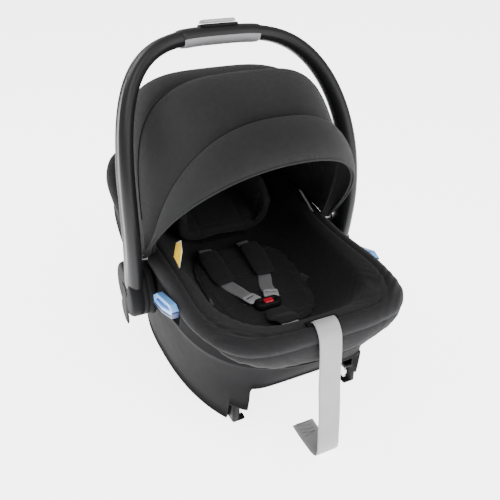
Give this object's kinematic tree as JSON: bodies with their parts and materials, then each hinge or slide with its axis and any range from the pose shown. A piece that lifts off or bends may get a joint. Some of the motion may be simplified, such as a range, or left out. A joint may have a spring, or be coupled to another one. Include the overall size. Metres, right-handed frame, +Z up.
{
  "type": "infant car seat",
  "caption": "Rear-facing infant carrier: rigid shell with padded cover, turning carry handle, folding canopy, sliding headrest, buckled harness and base catches.",
  "frame": {"origin": "on the floor, under the middle of the bounding box measured without the free adjuster strap", "axes": "+Z up, +Y towards the head end, -Y towards the foot end, X across the seat"},
  "size_m": [0.445, 0.6968, 0.5837],
  "materials": {
    "shell_plastic": "fine-grained mid grey",
    "handle_plastic": "satin dark grey",
    "black_plastic": "satin black",
    "light_plastic": "satin light grey",
    "grip_rubber": "soft light grey",
    "cover_fabric": "charcoal woven and padded",
    "canopy_fabric": "black woven, taut",
    "grey_webbing": "ribbed polyester webbing",
    "light_webbing": "ribbed light grey webbing",
    "guide_plastic": "smooth blue",
    "steel": "bright, lightly brushed",
    "button_plastic": "smooth red",
    "tag_fabric": "plain yellow with a pale border",
    "foam": "beaded white foam"
  },
  "bodies": {
    "shell": {"outer_shell": "shell_plastic", "seat_pan": "shell_plastic", "foam_liner": "foam", "seat_cover": "cover_fabric", "infant_insert": "cover_fabric", "left_belt_guide": "guide_plastic", "right_belt_guide": "guide_plastic", "rear_belt_guide": "guide_plastic", "left_hub_base": "shell_plastic", "right_hub_base": "shell_plastic", "left_pivot_pin": "steel", "right_pivot_pin": "steel", "left_canopy_pin": "steel", "right_canopy_pin": "steel", "left_foot_block": "shell_plastic", "right_foot_block": "shell_plastic", "rear_catch_bar": "steel", "adjuster_housing": "shell_plastic", "adjuster_bezel": "black_plastic", "adjuster_strap": "light_webbing", "crotch_strap": "light_webbing", "crotch_pad": "cover_fabric", "buckle_housing": "black_plastic", "left_tongue": "steel", "right_tongue": "steel", "left_harness_strap": "grey_webbing", "right_harness_strap": "grey_webbing", "left_shoulder_pad": "cover_fabric", "right_shoulder_pad": "cover_fabric", "left_lap_strap": "grey_webbing", "right_lap_strap": "grey_webbing", "harness_yoke": "steel", "blank_tag": "tag_fabric", "side_strip": "light_webbing", "canopy_back_panel": "canopy_fabric"},
    "handle": {"handle_arch": "handle_plastic", "grip_sleeve": "handle_plastic", "grip_pad": "grip_rubber", "button_collar": "black_plastic", "left_hub_cap": "handle_plastic", "right_hub_cap": "handle_plastic", "left_lock_spring": "steel", "right_lock_spring": "steel"},
    "release": {"release_button": "light_plastic"},
    "left_latch_body": {"left_latch": "steel"},
    "right_latch_body": {"right_latch": "steel"},
    "left_lock": {"left_lock_button": "handle_plastic"},
    "right_lock": {"right_lock_button": "handle_plastic"},
    "canopy_rear": {"canopy_rear_bow": "handle_plastic", "canopy_rear_panel": "canopy_fabric"},
    "canopy_mid": {"canopy_mid_bow": "handle_plastic", "canopy_mid_panel": "canopy_fabric"},
    "canopy_front": {"canopy_front_bow": "handle_plastic", "canopy_front_panel": "canopy_fabric"},
    "headrest": {"headrest_board": "shell_plastic", "headrest_pad": "cover_fabric", "headrest_lever": "light_plastic"},
    "buckle_press_body": {"buckle_button": "button_plastic"},
    "adjuster_lever_body": {"adjuster_lever": "steel"}
  },
  "joints": [
    {"name": "handle_turn", "type": "hinge", "parent": "shell", "child": "handle", "pos_m": [0, -0.012, 0.158], "axis": [1, 0, 0], "range_deg": [-95, 95]},
    {"name": "release_press", "type": "slide", "parent": "handle", "child": "release", "axis": [0, -0.2079, -0.9781], "range_m": [0, 0.004], "stiffness_N_per_m": 800},
    {"name": "left_latch_pull", "type": "slide", "parent": "shell", "child": "left_latch_body", "axis": [-1, 0, 0], "range_m": [0, 0.004]},
    {"name": "right_latch_pull", "type": "slide", "parent": "shell", "child": "right_latch_body", "axis": [1, 0, 0], "range_m": [0, 0.004]},
    {"name": "left_lock_press", "type": "slide", "parent": "handle", "child": "left_lock", "axis": [1, 0, 0], "range_m": [0, 0.003], "stiffness_N_per_m": 900, "deforming": ["left_lock_spring"]},
    {"name": "right_lock_press", "type": "slide", "parent": "handle", "child": "right_lock", "axis": [-1, 0, 0], "range_m": [0, 0.003], "stiffness_N_per_m": 900, "deforming": ["right_lock_spring"]},
    {"name": "canopy_fold1", "type": "hinge", "parent": "shell", "child": "canopy_rear", "pos_m": [0, -0.022, 0.218], "axis": [1, 0, 0], "range_deg": [-57, 0]},
    {"name": "canopy_fold2", "type": "hinge", "parent": "canopy_rear", "child": "canopy_mid", "pos_m": [0, -0.022, 0.218], "axis": [1, 0, 0], "range_deg": [-21.2, 0]},
    {"name": "canopy_fold3", "type": "hinge", "parent": "canopy_mid", "child": "canopy_front", "pos_m": [0, -0.022, 0.218], "axis": [1, 0, 0], "range_deg": [-4.2, 0]},
    {"name": "headrest_slide", "type": "slide", "parent": "shell", "child": "headrest", "axis": [0, 0.9552, 0.2961], "range_m": [0, 0.03]},
    {"name": "buckle_press", "type": "slide", "parent": "shell", "child": "buckle_press_body", "axis": [0, 0, -1], "range_m": [0, 0.004], "stiffness_N_per_m": 900},
    {"name": "adjuster_press", "type": "hinge", "parent": "shell", "child": "adjuster_lever_body", "pos_m": [0, -0.262, 0.105], "axis": [-1, 0, 0], "range_deg": [0, 8.5], "stiffness_Nm_per_rad": 0.5}
  ],
  "couplings": [
    {"joint": "left_latch_pull", "follows": "release_press", "ratio": 1},
    {"joint": "right_latch_pull", "follows": "release_press", "ratio": 1},
    {"joint": "canopy_fold2", "follows": "canopy_fold1", "ratio": 0.3684},
    {"joint": "canopy_fold3", "follows": "canopy_fold1", "ratio": 0.0702}
  ]
}
